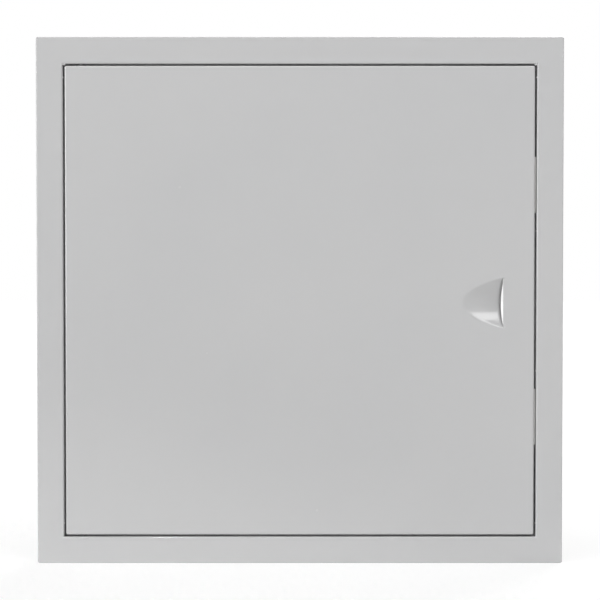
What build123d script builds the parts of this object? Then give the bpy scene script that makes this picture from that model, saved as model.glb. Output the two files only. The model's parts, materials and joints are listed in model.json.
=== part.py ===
"""Square steel access panel for a wall or ceiling.

A folded and welded steel frame is pushed into the opening until its hemmed flange lies on the wall.
A shallow pan door closes it flush. The door turns on two pivot pins at the left, is held shut by two
magnetic catches at the right, and is pulled open by a scoop that is pressed into its own sheet.

X runs to the right, Y into the wall and Z up. Everything is modelled about the middle of the panel,
with the wall plane at Y = 0, and is then lifted so that the origin lies on the back of the bottom hem.
"""
import os
from math import atan2, cos, degrees, sin

from build123d import *

# Frame, in millimetres
NECK = 300.0               # outside of the neck that enters the wall opening, square
FLANGE_WIDTH = 16.0        # flange past the neck, on each side
NECK_DEPTH = 25.0          # wall plane to the back of the neck
SHEET = 0.8                # steel sheet of frame and door
BEND_INSIDE = 0.4          # inside radius of every fold
HEM_WIDTH = 8.0            # sheet folded flat behind the flange's rim
HEM_FLAT = 0.2             # flat left in the middle of the folded rim
STOP_LIP = 10.0            # lip at the back of the neck, from the neck's outside
FLANGE_CORNER = 1.2        # rounding of the flange's four corners
FIXING_RADIUS = 2.25       # screw holes through the side necks
FIXING_SPACING = 200.0     # from one screw hole to the other on a side

# Door
DOOR_GAP = 1.2             # open joint between the door and the neck
DOOR_DEPTH = 14.0          # front of the door to the back of its lips
DOOR_LIP = 8.0             # inward lip behind each return
LIP_CORNER = 3.0           # corner radius of the opening between the lips
RELIEF_WIDTH = 0.8         # relief slots that let the side returns fold
RELIEF_FROM_END = 7.2      # slot beside each corner, from the door's top or bottom edge
RELIEF_SPACING = 88.4      # the pair of slots on the latch side, either side of the pull

# Pivots
PIVOT_INSET = 10.0         # door's hinge edge to the pivot
PIVOT_SETBACK = 4.5        # door's front to the pivot
PIN_RADIUS = 1.5
PIN_FIT = 0.05             # radial room of the pin in its holes
PIN_HEAD_RADIUS = 3.0
PIN_HEAD = 1.0
PIN_END = 1.0              # pin past the inner end of its bush
BUSH_WALL = 0.75
BUSH_FIT = 0.05            # radial room of the bush in the door's return
BUSH_COLLAR_RADIUS = 3.2
BUSH_PLAY = 0.3            # room between the bush's collar and the neck
BUSH_REACH = 2.6           # bush past the inside of the return

# Magnetic catches
CATCH_SPACING = 146.6      # from the middle of one catch to the other
CATCH_LENGTH = 35.4
CATCH_DEPTH = 12.5
CATCH_WALL = 1.4           # housing's wall on the pocket's free side
CATCH_ROUND = 1.0          # housing's upright edges away from the neck
CATCH_ROOM = 1.0           # notch in the door past the housing
POLE_GAP = 0.3             # door's sheet to the pole faces
POLE_ROOM = 1.1            # outer pole to the start of the door's fold
POLE_PROUD = 1.0           # poles past the front of the housing
POLE_THICKNESS = 1.5
POLE_LENGTH = 26.0
POLE_HEIGHT = 9.5
MAGNET_THICKNESS = 6.0
MAGNET_LENGTH = 24.0
MAGNET_HEIGHT = 8.0
MAGNET_FIT = 0.1           # room around poles and magnet in the pocket
RIVET_RADIUS = 1.25
RIVET_FIT = 0.05
RIVET_HEAD_RADIUS = 2.1
RIVET_HEAD = 0.9

# Finger pull
PULL_WIDTH = 31.8          # along its straight edge
PULL_LENGTH = 25.8         # soft tip to the straight edge
PULL_DEPTH = 5.4           # at the straight edge
PULL_INSET = 19.7          # door's latch edge to the straight edge
PULL_DROP = 1.0            # middle of the pull below the middle of the panel
PULL_RIM = 1.0             # rounding of its curved rim

# Places that follow from the sizes above
OVERALL = NECK + 2 * FLANGE_WIDTH
BEND_OUTSIDE = BEND_INSIDE + SHEET
HEM_ROUND = SHEET - HEM_FLAT / 2
ORIGIN_LIFT = (OVERALL - HEM_WIDTH) / 2
NECK_INSIDE = NECK / 2 - SHEET
FRONT = -2 * SHEET
DOOR_HALF = NECK_INSIDE - DOOR_GAP
SHEET_BACK = FRONT + SHEET
DOOR_BACK = FRONT + DOOR_DEPTH
FIXING_Y = (DOOR_BACK + NECK_DEPTH - SHEET) / 2
PIVOT_X = PIVOT_INSET - DOOR_HALF
PIVOT_Y = FRONT + PIVOT_SETBACK
BUSH_BORE = PIN_RADIUS + PIN_FIT
BUSH_RADIUS = BUSH_BORE + BUSH_WALL
CATCH_FRONT = SHEET_BACK + POLE_GAP + POLE_PROUD
HALF_STACK = MAGNET_THICKNESS / 2 + POLE_THICKNESS
CATCH_X = DOOR_HALF - BEND_OUTSIDE - POLE_ROOM - HALF_STACK
CATCH_INSIDE = CATCH_X - HALF_STACK - MAGNET_FIT - CATCH_WALL
POCKET_FLOOR = CATCH_FRONT + POLE_HEIGHT - POLE_PROUD
POCKET_LENGTH = POLE_LENGTH + 2 * MAGNET_FIT
RIVET_OFFSET = (CATCH_LENGTH + POCKET_LENGTH) / 4
RIVET_Y = CATCH_FRONT + CATCH_DEPTH / 2
PULL_EDGE = DOOR_HALF - PULL_INSET
PULL_TIP = PULL_EDGE - PULL_LENGTH


def block(x, y, z):
    """A box between two ends on each axis, given as (low, high) pairs."""
    box = Box(x[1] - x[0], y[1] - y[0], z[1] - z[0], align=Align.MIN)
    return Pos(x[0], y[0], z[0]) * box


def rod(start, direction, radius, length):
    """A round bar from a start point along a direction."""
    disc = Plane(origin=start, z_dir=direction) * Circle(radius)
    return extrude(disc, length)


def rail_section():
    """Section of the frame's sheet: hemmed flange, neck and stop lip. Its first axis points outwards."""
    hem_edge = FLANGE_WIDTH - HEM_WIDTH
    corners = [
        ((FLANGE_WIDTH, FRONT), HEM_ROUND),
        ((FLANGE_WIDTH, 0), HEM_ROUND),
        ((hem_edge, 0), 0),
        ((hem_edge, SHEET_BACK), 0),
        ((0, SHEET_BACK), BEND_INSIDE),
        ((0, NECK_DEPTH), BEND_OUTSIDE),
        ((-STOP_LIP, NECK_DEPTH), 0),
        ((-STOP_LIP, NECK_DEPTH - SHEET), 0),
        ((-SHEET, NECK_DEPTH - SHEET), BEND_INSIDE),
        ((-SHEET, FRONT), BEND_OUTSIDE),
    ]
    outline = FilletPolyline(
        *[point for point, _ in corners],
        radius=[radius for _, radius in corners],
        close=True,
    )
    return make_face(outline)


def top_rail():
    """The upper side of the frame, mitred at both ends."""
    across = Plane(origin=(0, 0, NECK / 2), x_dir=(0, 0, 1), z_dir=(-1, 0, 0))
    bar = extrude(across * rail_section(), OVERALL / 2, both=True)
    reach = OVERALL
    mitre = Plane.XZ * make_face(Polyline((0, 0), (reach, reach), (-reach, reach), close=True))
    rim = Plane.XZ * RectangleRounded(OVERALL, OVERALL, FLANGE_CORNER)
    return bar & extrude(mitre, OVERALL, both=True) & extrude(rim, OVERALL, both=True)


def frame_rails():
    """The four mitred sides, with the holes for pins, rivets and fixing screws."""
    top = top_rail()
    rails = {
        "frame_top_rail": top,
        "frame_latch_stile": Rot(0, 90, 0) * top,
        "frame_bottom_rail": Rot(0, 180, 0) * top,
        "frame_hinge_stile": Rot(0, 270, 0) * top,
    }
    pin_hole = rod((PIVOT_X, PIVOT_Y, -NECK), (0, 0, 1), BUSH_BORE, 2 * NECK)
    rails["frame_top_rail"] -= pin_hole
    rails["frame_bottom_rail"] -= pin_hole
    for z in (-FIXING_SPACING / 2, FIXING_SPACING / 2):
        screw_hole = rod((-NECK, FIXING_Y, z), (1, 0, 0), FIXING_RADIUS, 2 * NECK)
        rails["frame_latch_stile"] -= screw_hole
        rails["frame_hinge_stile"] -= screw_hole
    for middle in catch_middles():
        for z in rivet_heights(middle):
            rails["frame_latch_stile"] -= rivet_hole(z)
    return rails


def catch_middles():
    """Heights of the lower and the upper catch."""
    return (-CATCH_SPACING / 2, CATCH_SPACING / 2)


def rivet_heights(middle):
    """Heights of a catch's lower and upper rivet."""
    return (middle - RIVET_OFFSET, middle + RIVET_OFFSET)


def rivet_hole(z):
    """The hole for a rivet through the neck and the housing."""
    start = (CATCH_INSIDE - RIVET_HEAD, RIVET_Y, z)
    length = NECK / 2 - CATCH_INSIDE + 2 * RIVET_HEAD
    return rod(start, (1, 0, 0), RIVET_RADIUS + RIVET_FIT, length)


def door_pan():
    """Front sheet with its four returns and lips."""
    inside = DOOR_HALF - SHEET
    opening = DOOR_HALF - DOOR_LIP
    outside = block((-DOOR_HALF, DOOR_HALF), (FRONT, DOOR_BACK), (-DOOR_HALF, DOOR_HALF))
    hollow = block((-inside, inside), (SHEET_BACK, DOOR_BACK - SHEET), (-inside, inside))
    mouth = Plane.XZ * RectangleRounded(2 * opening, 2 * opening, LIP_CORNER)
    mouth = Pos(0, DOOR_BACK, 0) * extrude(mouth, DOOR_DEPTH / 2, both=True)
    return fillet(outside.edges(), BEND_OUTSIDE) - fillet(hollow.edges(), BEND_INSIDE) - mouth


def pull_cylinder(radius):
    """A round bar whose lower side is the sloping floor of the finger pull, at a radius about its axis."""
    tilt = atan2(PULL_DEPTH, PULL_LENGTH)
    floor_radius = pull_radius()
    along = (cos(tilt), sin(tilt), 0)
    axis_x = PULL_TIP + floor_radius * sin(tilt)
    axis_y = FRONT - floor_radius * cos(tilt)
    start = (axis_x - PULL_LENGTH * along[0], axis_y - PULL_LENGTH * along[1], -PULL_DROP)
    return rod(start, along, radius, 4 * PULL_LENGTH)


def pull_radius():
    """Radius of the pull's floor: its depth and width at the straight edge are given."""
    sagitta = PULL_DEPTH * cos(atan2(PULL_DEPTH, PULL_LENGTH))
    half_width = PULL_WIDTH / 2
    return (half_width**2 + sagitta**2) / (2 * sagitta)


def pull_limits():
    """Space left of the straight edge, and the same space left of the pressed sheet's own tilted edge."""
    reach = 2 * PULL_WIDTH
    left = block((PULL_EDGE - reach, PULL_EDGE), (FRONT - reach, FRONT + reach), (-reach, reach))
    behind = block((PULL_EDGE - reach, PULL_EDGE), (FRONT, FRONT + reach), (-reach, reach))
    half_tilt = degrees(atan2(PULL_DEPTH, PULL_LENGTH)) / 2
    hinge = Pos(PULL_EDGE, FRONT, 0)
    leaning = hinge * Rot(0, 0, half_tilt) * block((-2 * reach, 0), (-reach, reach), (-reach, reach))
    return left, behind & leaning


def door_leaf():
    """The pan with its pressed finger pull, relief slots, catch notches and bush holes."""
    left, behind = pull_limits()
    pressed = pull_cylinder(pull_radius() + SHEET) & behind
    scoop = pull_cylinder(pull_radius()) & left
    leaf = door_pan() + pressed - scoop
    front_rim = leaf.edges().filter_by(GeomType.ELLIPSE).group_by(Axis.Y)[0]
    leaf = fillet(front_rim, PULL_RIM)
    fold_end = FRONT + BEND_OUTSIDE
    wall = DOOR_HALF - SHEET - BEND_INSIDE
    corner_relief = DOOR_HALF - RELIEF_FROM_END
    slots = [(1, -RELIEF_SPACING / 2), (1, RELIEF_SPACING / 2)]
    slots += [(side, end * corner_relief) for side in (-1, 1) for end in (-1, 1)]
    for side, z in slots:
        across = sorted((side * wall, side * NECK_INSIDE))
        along = (z - RELIEF_WIDTH / 2, z + RELIEF_WIDTH / 2)
        leaf -= block(across, (fold_end, DOOR_BACK - BEND_OUTSIDE), along)
    notch_half = CATCH_LENGTH / 2 + CATCH_ROOM
    for middle in catch_middles():
        along = (middle - notch_half, middle + notch_half)
        leaf -= block((CATCH_INSIDE - CATCH_ROOM, NECK_INSIDE), (fold_end, NECK_DEPTH), along)
    bush_hole = rod((PIVOT_X, PIVOT_Y, -NECK), (0, 0, 1), BUSH_RADIUS + BUSH_FIT, 2 * NECK)
    return leaf - bush_hole


def upper_pivot():
    """Pin and bush of the upper pivot: the pin hangs from the neck, the bush sits in the door's return."""
    bush_end = DOOR_HALF - SHEET - BUSH_REACH
    pin_end = bush_end - PIN_END
    outside = NECK / 2
    pin = rod((PIVOT_X, PIVOT_Y, pin_end), (0, 0, 1), PIN_RADIUS, outside - pin_end)
    pin += rod((PIVOT_X, PIVOT_Y, outside), (0, 0, 1), PIN_HEAD_RADIUS, PIN_HEAD)
    collar = DOOR_GAP - BUSH_PLAY
    bush = rod((PIVOT_X, PIVOT_Y, bush_end), (0, 0, 1), BUSH_RADIUS, DOOR_HALF - bush_end)
    bush += rod((PIVOT_X, PIVOT_Y, DOOR_HALF), (0, 0, 1), BUSH_COLLAR_RADIUS, collar)
    bush -= rod((PIVOT_X, PIVOT_Y, bush_end), (0, 0, 1), BUSH_BORE, NECK)
    return pin, bush


def magnet_catch(middle):
    """One catch on the latch stile: housing, magnet, two pole plates and two rivets, by piece name."""
    low, high = middle - CATCH_LENGTH / 2, middle + CATCH_LENGTH / 2
    depth = (CATCH_FRONT, CATCH_FRONT + CATCH_DEPTH)
    housing = block((CATCH_INSIDE, NECK_INSIDE), depth, (low, high))
    free_edges = housing.edges().filter_by(Axis.Y).group_by(Axis.X)[0]
    housing = fillet(free_edges, CATCH_ROUND)
    half_pocket = HALF_STACK + MAGNET_FIT
    housing -= block(
        (CATCH_X - half_pocket, CATCH_X + half_pocket),
        (CATCH_FRONT, POCKET_FLOOR),
        (middle - POCKET_LENGTH / 2, middle + POCKET_LENGTH / 2),
    )
    half_magnet = MAGNET_THICKNESS / 2
    pole_depth = (POCKET_FLOOR - POLE_HEIGHT, POCKET_FLOOR)
    pole_span = (middle - POLE_LENGTH / 2, middle + POLE_LENGTH / 2)
    pieces = {
        "magnet_block": block(
            (CATCH_X - half_magnet, CATCH_X + half_magnet),
            (POCKET_FLOOR - MAGNET_HEIGHT, POCKET_FLOOR),
            (middle - MAGNET_LENGTH / 2, middle + MAGNET_LENGTH / 2),
        ),
        "magnet_inner_pole": block((CATCH_X - HALF_STACK, CATCH_X - half_magnet), pole_depth, pole_span),
        "magnet_outer_pole": block((CATCH_X + half_magnet, CATCH_X + HALF_STACK), pole_depth, pole_span),
    }
    for name, z in zip(("bottom_rivet", "top_rivet"), rivet_heights(middle)):
        housing -= rivet_hole(z)
        pieces["magnet_" + name] = rivet(z)
    pieces["magnet_housing"] = housing
    return pieces


def rivet(z):
    """A rivet with a domed head outside the neck and another on the housing."""
    outside = NECK / 2
    shank = rod((CATCH_INSIDE, RIVET_Y, z), (1, 0, 0), RIVET_RADIUS, outside - CATCH_INSIDE)
    outer_head = rod((outside, RIVET_Y, z), (1, 0, 0), RIVET_HEAD_RADIUS, RIVET_HEAD)
    outer_head = fillet(outer_head.edges().group_by(Axis.X)[-1], RIVET_HEAD / 2)
    inner_head = rod((CATCH_INSIDE, RIVET_Y, z), (-1, 0, 0), RIVET_HEAD_RADIUS, RIVET_HEAD)
    inner_head = fillet(inner_head.edges().group_by(Axis.X)[0], RIVET_HEAD / 2)
    return shank + outer_head + inner_head


def panel_pieces():
    """Every piece by name, about the middle of the panel."""
    pieces = frame_rails()
    pieces["door_leaf"] = door_leaf()
    pin, bush = upper_pivot()
    pieces["upper_hinge_pin"] = pin
    pieces["upper_hinge_bush"] = bush
    pieces["lower_hinge_pin"] = mirror(pin, about=Plane.XY)
    pieces["lower_hinge_bush"] = mirror(bush, about=Plane.XY)
    for side, middle in zip(("lower", "upper"), catch_middles()):
        for name, piece in magnet_catch(middle).items():
            pieces[f"{side}_{name}"] = piece
    return pieces


def main():
    os.makedirs("parts", exist_ok=True)
    for name, piece in panel_pieces().items():
        export_step(Pos(0, 0, ORIGIN_LIFT) * piece, os.path.join("parts", name + ".step"))
        print(name, round(piece.volume, 2))


if __name__ == "__main__":
    main()
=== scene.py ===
# %% [markdown]
# # A flush steel access panel
# The real object is a square hatch for a wall: a folded and welded steel frame, a shallow pan door that
# closes flush in it, and a scoop pressed into the door's own sheet to pull it open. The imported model
# gives every size and place. This lesson leaves that model where it is and dresses it: finer meshes for
# the sheet metal, small hardware from Geometry Nodes, finishes from shader nodes, and plain studio
# light.

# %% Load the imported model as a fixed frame
import json
import math

import bmesh
import bpy
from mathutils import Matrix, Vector


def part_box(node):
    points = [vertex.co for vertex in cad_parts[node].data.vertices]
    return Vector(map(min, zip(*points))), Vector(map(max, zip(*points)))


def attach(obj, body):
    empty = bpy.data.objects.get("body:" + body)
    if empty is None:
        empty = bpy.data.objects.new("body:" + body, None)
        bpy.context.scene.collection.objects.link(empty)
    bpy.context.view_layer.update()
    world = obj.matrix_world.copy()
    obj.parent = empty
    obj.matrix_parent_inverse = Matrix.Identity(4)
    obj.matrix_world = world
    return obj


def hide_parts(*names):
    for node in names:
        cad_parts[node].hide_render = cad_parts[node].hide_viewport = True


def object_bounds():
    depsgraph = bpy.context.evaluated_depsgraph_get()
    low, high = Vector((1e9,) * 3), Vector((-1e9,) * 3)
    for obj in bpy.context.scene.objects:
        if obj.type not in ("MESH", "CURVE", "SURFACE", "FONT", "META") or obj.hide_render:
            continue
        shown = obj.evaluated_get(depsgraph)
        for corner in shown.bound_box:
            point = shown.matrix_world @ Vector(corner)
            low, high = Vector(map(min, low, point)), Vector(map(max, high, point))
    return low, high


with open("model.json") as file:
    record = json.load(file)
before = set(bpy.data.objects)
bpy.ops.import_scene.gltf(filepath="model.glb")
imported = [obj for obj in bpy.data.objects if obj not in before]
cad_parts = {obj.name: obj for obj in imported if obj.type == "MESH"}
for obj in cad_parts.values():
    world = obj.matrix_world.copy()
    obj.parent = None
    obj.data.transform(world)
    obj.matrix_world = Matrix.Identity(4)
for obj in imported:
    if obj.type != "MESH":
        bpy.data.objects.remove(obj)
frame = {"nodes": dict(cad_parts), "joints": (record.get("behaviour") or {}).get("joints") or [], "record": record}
cad_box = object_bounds()
print("CAD nodes:", len(frame["nodes"]), "box:", [tuple(corner) for corner in cad_box])

# %% [markdown]
# ## Sizes
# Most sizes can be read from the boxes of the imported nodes, so nothing has to be fitted by eye. Only
# the sheet's thickness and the radii of its folds are written here, because a box can't tell them.

# %% Sizes read from the frame
MM = 0.001
SHEET = 0.8 * MM
BEND = 1.2 * MM
BEND_INSIDE = BEND - SHEET
DOOR_GAP = 1.2 * MM
HEM_WIDTH = 8.0 * MM
HEM_ROUND = 0.7 * MM
FLANGE_CORNER = 1.2 * MM

low_corner, high_corner = cad_box
FRONT = low_corner.y
SHEET_BACK = FRONT + SHEET
NECK_BACK = high_corner.y
CENTRE = (low_corner.z + high_corner.z) / 2
OVERALL = high_corner.x - low_corner.x

door_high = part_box("door_leaf")[1]
DOOR_HALF = door_high.x
DOOR_BACK = door_high.y
NECK_HALF = DOOR_HALF + DOOR_GAP + SHEET
FLANGE = OVERALL / 2 - NECK_HALF
STOP_LIP = NECK_HALF - (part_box("frame_top_rail")[0].z - CENTRE)
print(f"flange {FLANGE / MM:.2f} mm, stop lip {STOP_LIP / MM:.2f} mm, door {2 * DOOR_HALF / MM:.1f} mm")

# %% [markdown]
# ## Helpers for node trees
# Geometry Nodes and shader nodes are built the same way in code: make a node, set its options, then
# give each input a value or a link. Two short helpers keep that readable.

# %% Node helpers
def feed(tree, socket, value):
    """Gives an input a link when the value is a socket, and otherwise a plain value."""
    if isinstance(value, bpy.types.NodeSocket):
        tree.links.new(value, socket)
    else:
        socket.default_value = value


def add_node(tree, kind, inputs=None, **options):
    node = tree.nodes.new(kind)
    for name, value in options.items():
        setattr(node, name, value)
    for name, value in (inputs or {}).items():
        feed(tree, node.inputs[name], value)
    return node


def calculate(tree, operation, *values):
    """One Math node, given as its operation and its operands."""
    node = add_node(tree, "ShaderNodeMath", operation=operation)
    for socket, value in zip(node.inputs, values):
        feed(tree, socket, value)
    return node.outputs[0]


def new_tree(name, kind, inputs, outputs):
    """An empty tree with named sockets, and its Group Input and Group Output nodes."""
    tree = bpy.data.node_groups.new(name, kind)
    for label, socket in inputs:
        tree.interface.new_socket(label, in_out="INPUT", socket_type="NodeSocket" + socket)
    for label, socket in outputs:
        tree.interface.new_socket(label, in_out="OUTPUT", socket_type="NodeSocket" + socket)
    start = tree.nodes.new("NodeGroupInput")
    end = tree.nodes.new("NodeGroupOutput")
    return tree, start.outputs, end.inputs

# %% [markdown]
# ## Effects that several finishes share
# Paint ripples like the skin of an orange, mouldings and sintered blocks are grainy, and plated steel
# keeps the lines of its grinding. Each effect is a node group, so that every material can place it with
# its own scale. The groups put out only heights and masks that change over the surface.

# %% Group: ripples of a sprayed coat, and slow clouds for its roughness and a painted reflection
SLOW_RIPPLE_SCALE = 0.11
SLOW_RIPPLE_WEIGHT = 1.2
SPECKS_PER_METRE = 2600.0


def noise(tree, point, scale, detail, roughness=0.5):
    node = add_node(tree, "ShaderNodeTexNoise", {"Vector": point, "Scale": scale, "Detail": detail,
                                                 "Roughness": roughness})
    return node.outputs["Fac"]


def make_coat_group():
    tree, given, result = new_tree(
        "sprayed_coat", "ShaderNodeTree",
        [("Ripples per Metre", "Float"), ("Clouds per Metre", "Float")],
        [("Height", "Float"), ("Clouds", "Float"), ("Specks", "Float")])
    point = add_node(tree, "ShaderNodeTexCoord").outputs["Object"]
    ripples = noise(tree, point, given["Ripples per Metre"], 1.5)
    slow_scale = calculate(tree, "MULTIPLY", given["Ripples per Metre"], SLOW_RIPPLE_SCALE)
    slow = noise(tree, point, slow_scale, 1.0)
    feed(tree, result["Height"], calculate(tree, "MULTIPLY_ADD", slow, SLOW_RIPPLE_WEIGHT, ripples))
    clouds = noise(tree, point, given["Clouds per Metre"], 2.0)
    feed(tree, result["Clouds"], clouds)
    fine = noise(tree, point, SPECKS_PER_METRE, 1.0)
    specks = add_node(tree, "ShaderNodeMapRange", {"Value": fine, "From Min": 0.70, "From Max": 0.80})
    feed(tree, result["Specks"], specks.outputs["Result"])
    return tree


coat_group = make_coat_group()
print("group", coat_group.name, [item.name for item in coat_group.interface.items_tree])

# %% Group: a soft round mark at a place on the surface
MARK_EDGE_PER_METRE = 700.0


def make_mark_group():
    tree, given, result = new_tree(
        "soft_mark", "ShaderNodeTree",
        [("Place", "Vector"), ("Radius", "Float")], [("Mask", "Float")])
    point = add_node(tree, "ShaderNodeTexCoord").outputs["Object"]
    offset = add_node(tree, "ShaderNodeVectorMath", operation="SUBTRACT")
    feed(tree, offset.inputs[0], point)
    feed(tree, offset.inputs[1], given["Place"])
    length = add_node(tree, "ShaderNodeVectorMath", operation="LENGTH")
    feed(tree, length.inputs[0], offset.outputs["Vector"])
    ragged = calculate(tree, "MULTIPLY_ADD", noise(tree, point, MARK_EDGE_PER_METRE, 2.0), 0.7, 0.65)
    distance = calculate(tree, "DIVIDE", length.outputs["Value"], given["Radius"])
    fade = add_node(tree, "ShaderNodeMapRange", {"Value": calculate(tree, "MULTIPLY", distance, ragged),
                                                 "From Min": 1.0, "From Max": 0.35},
                    interpolation_type="SMOOTHSTEP")
    feed(tree, result["Mask"], fade.outputs["Result"])
    return tree


mark_group = make_mark_group()
print("group", mark_group.name)

# %% Group: fine grain of mouldings and sintered blocks
TONE_SCALE = 0.08


def make_grain_group():
    tree, given, result = new_tree(
        "fine_grain", "ShaderNodeTree",
        [("Grains per Metre", "Float")], [("Height", "Float"), ("Tone", "Float")])
    point = add_node(tree, "ShaderNodeTexCoord").outputs["Object"]
    feed(tree, result["Height"], noise(tree, point, given["Grains per Metre"], 3.0, 0.6))
    patches = calculate(tree, "MULTIPLY", given["Grains per Metre"], TONE_SCALE)
    feed(tree, result["Tone"], noise(tree, point, patches, 2.0))
    return tree


grain_group = make_grain_group()
print("group", grain_group.name)

# %% Group: lines of grinding or drawing on bare steel
STAINS_PER_METRE = 240.0


def make_lines_group():
    tree, given, result = new_tree(
        "drawn_lines", "ShaderNodeTree",
        [("Stretch", "Vector")], [("Height", "Float"), ("Stain", "Float")])
    point = add_node(tree, "ShaderNodeTexCoord").outputs["Object"]
    stretched = add_node(tree, "ShaderNodeVectorMath", operation="MULTIPLY")
    feed(tree, stretched.inputs[0], point)
    feed(tree, stretched.inputs[1], given["Stretch"])
    feed(tree, result["Height"], noise(tree, stretched.outputs["Vector"], 1.0, 3.0, 0.6))
    feed(tree, result["Stain"], noise(tree, point, STAINS_PER_METRE, 2.0))
    return tree


lines_group = make_lines_group()
print("group", lines_group.name)

# %% [markdown]
# ## Paint
# The panel has a glossy, light grey-white powder coat. Its colour hardly varies, but the coat is never
# a mirror: it ripples over a couple of millimetres, its roughness changes in slow clouds that also paint a
# faint bluish reflection into its colour, and a used door carries a few faint finger marks. The marks sit
# where a hand leaves them, given by places on the door's front.

# %% Helpers for materials
def place_group(tree, group, **values):
    node = add_node(tree, "ShaderNodeGroup", node_tree=group)
    for name, value in values.items():
        feed(tree, node.inputs[name.replace("_", " ")], value)
    return node.outputs


def mix_colour(tree, mask, first, second):
    node = add_node(tree, "ShaderNodeMix", data_type="RGBA")
    feed(tree, node.inputs["Factor"], mask)
    feed(tree, node.inputs[6], first)
    feed(tree, node.inputs[7], second)
    return node.outputs[2]


def spread(tree, mask, least, most):
    """Turns a mask from 0 to 1 into a value between two limits."""
    node = add_node(tree, "ShaderNodeMapRange", {"Value": mask, "To Min": least, "To Max": most})
    return node.outputs["Result"]


def new_material(name):
    material = bpy.data.materials.new(name)
    material.use_nodes = True
    tree = material.node_tree
    return material, tree, tree.nodes["Principled BSDF"].inputs


def add_bump(tree, shader, height, depth):
    bump = add_node(tree, "ShaderNodeBump", {"Height": height, "Distance": depth, "Strength": 1.0})
    feed(tree, shader["Normal"], bump.outputs["Normal"])


# %% Paint for the frame and the door
PAINT = (0.530, 0.530, 0.532, 1.0)
# Bluish grey that the slow clouds mix in: a painted reflection of the room in the glossy coat.
PAINT_REFLECTION_TINT = (0.512, 0.514, 0.519, 1.0)
PAINT_MARKED = (0.470, 0.470, 0.470, 1.0)
COAT_ROUGHNESS = (0.13, 0.19)
RIPPLE_DEPTH = 0.004 * MM
RIPPLES_PER_METRE = 420.0
CLOUDS_PER_METRE = 9.0
MARK_DULLNESS = 0.12
SPECK_DULLNESS = 0.05


def make_paint(name, marks):
    material, tree, shader = new_material(name)
    coat = place_group(tree, coat_group, Ripples_per_Metre=RIPPLES_PER_METRE,
                       Clouds_per_Metre=CLOUDS_PER_METRE)
    # The clouds paint a faint bluish reflection into the colour, and vary the coat's own roughness.
    colour = mix_colour(tree, spread(tree, coat["Clouds"], -0.6, 1.6), PAINT, PAINT_REFLECTION_TINT)
    roughness = spread(tree, coat["Clouds"], *COAT_ROUGHNESS)
    for place, radius, strength in marks:
        mark = place_group(tree, mark_group, Place=place, Radius=radius)["Mask"]
        colour = mix_colour(tree, calculate(tree, "MULTIPLY", mark, strength), colour, PAINT_MARKED)
        roughness = calculate(tree, "MULTIPLY_ADD", mark, MARK_DULLNESS, roughness)
    feed(tree, shader["Base Color"], colour)
    roughness = calculate(tree, "MULTIPLY_ADD", coat["Specks"], SPECK_DULLNESS, roughness)
    feed(tree, shader["Roughness"], roughness)
    add_bump(tree, shader, coat["Height"], RIPPLE_DEPTH)
    return material


def on_door(x, z):
    """A place on the door's front, measured in millimetres from its middle."""
    return (x * MM, FRONT, CENTRE + z * MM)


FINGER_MARKS = [
    (on_door(-75.6, 71.9), 1.9 * MM, 0.30),
    (on_door(-58.6, -32.8), 1.7 * MM, 0.30),
    (on_door(10.8, -132.4), 2.0 * MM, 0.16),
]
frame_paint = make_paint("frame_paint", [])
door_paint = make_paint("door_paint", FINGER_MARKS)
print("paints:", frame_paint.name, door_paint.name, "with", len(FINGER_MARKS), "marks")

# %% [markdown]
# ## Hardware finishes
# Pins and rivets are zinc-plated, the pole plates of the catches are ground on their faces, the
# housings are moulded in white plastic, the bushes in black acetal, and the magnets are dark sintered
# blocks.

# %% Zinc, ground steel, mouldings, acetal and ferrite
def make_steel(name, light, dark, stretch, roughness, depth):
    material, tree, shader = new_material(name)
    lines = place_group(tree, lines_group, Stretch=stretch)
    feed(tree, shader["Base Color"], mix_colour(tree, lines["Stain"], light, dark))
    feed(tree, shader["Roughness"], spread(tree, lines["Height"], *roughness))
    shader["Metallic"].default_value = 1.0
    add_bump(tree, shader, lines["Height"], depth)
    return material


def make_grained(name, light, dark, grains, roughness, depth):
    material, tree, shader = new_material(name)
    grain = place_group(tree, grain_group, Grains_per_Metre=grains)
    feed(tree, shader["Base Color"], mix_colour(tree, grain["Tone"], light, dark))
    feed(tree, shader["Roughness"], spread(tree, grain["Height"], *roughness))
    add_bump(tree, shader, grain["Height"], depth)
    return material


zinc = make_steel("zinc_plate", (0.66, 0.66, 0.64, 1), (0.54, 0.55, 0.55, 1), (900, 900, 2400),
                  (0.26, 0.42), 0.006 * MM)
ground_steel = make_steel("ground_pole_steel", (0.60, 0.60, 0.60, 1), (0.48, 0.48, 0.49, 1),
                          (5200, 5200, 160), (0.22, 0.40), 0.008 * MM)
housing_plastic = make_grained("housing_plastic", (0.70, 0.70, 0.68, 1), (0.66, 0.66, 0.64, 1), 3800.0,
                               (0.42, 0.58), 0.012 * MM)
acetal = make_grained("bush_acetal", (0.045, 0.045, 0.047, 1), (0.035, 0.035, 0.037, 1), 2600.0,
                      (0.36, 0.50), 0.008 * MM)
ferrite = make_grained("sintered_ferrite", (0.070, 0.070, 0.075, 1), (0.045, 0.045, 0.05, 1), 5200.0,
                       (0.55, 0.75), 0.02 * MM)
print("finishes:", [m.name for m in (zinc, ground_steel, housing_plastic, acetal, ferrite)])

# %% [markdown]
# ## Running a tree and keeping plain meshes
# A Geometry Nodes tree is run on a small mesh that holds only the points of a section. The evaluated
# result is copied to a plain mesh and the modifier goes, so that the piece holds nothing live.

# %% Helpers for pieces
def settle(piece):
    """Replaces an object's mesh by its evaluated result and drops its modifiers."""
    bpy.context.view_layer.update()
    graph = bpy.context.evaluated_depsgraph_get()
    result = bpy.data.meshes.new_from_object(piece.evaluated_get(graph))
    piece.modifiers.clear()
    piece.data = result
    result.name = piece.name
    return piece


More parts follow.
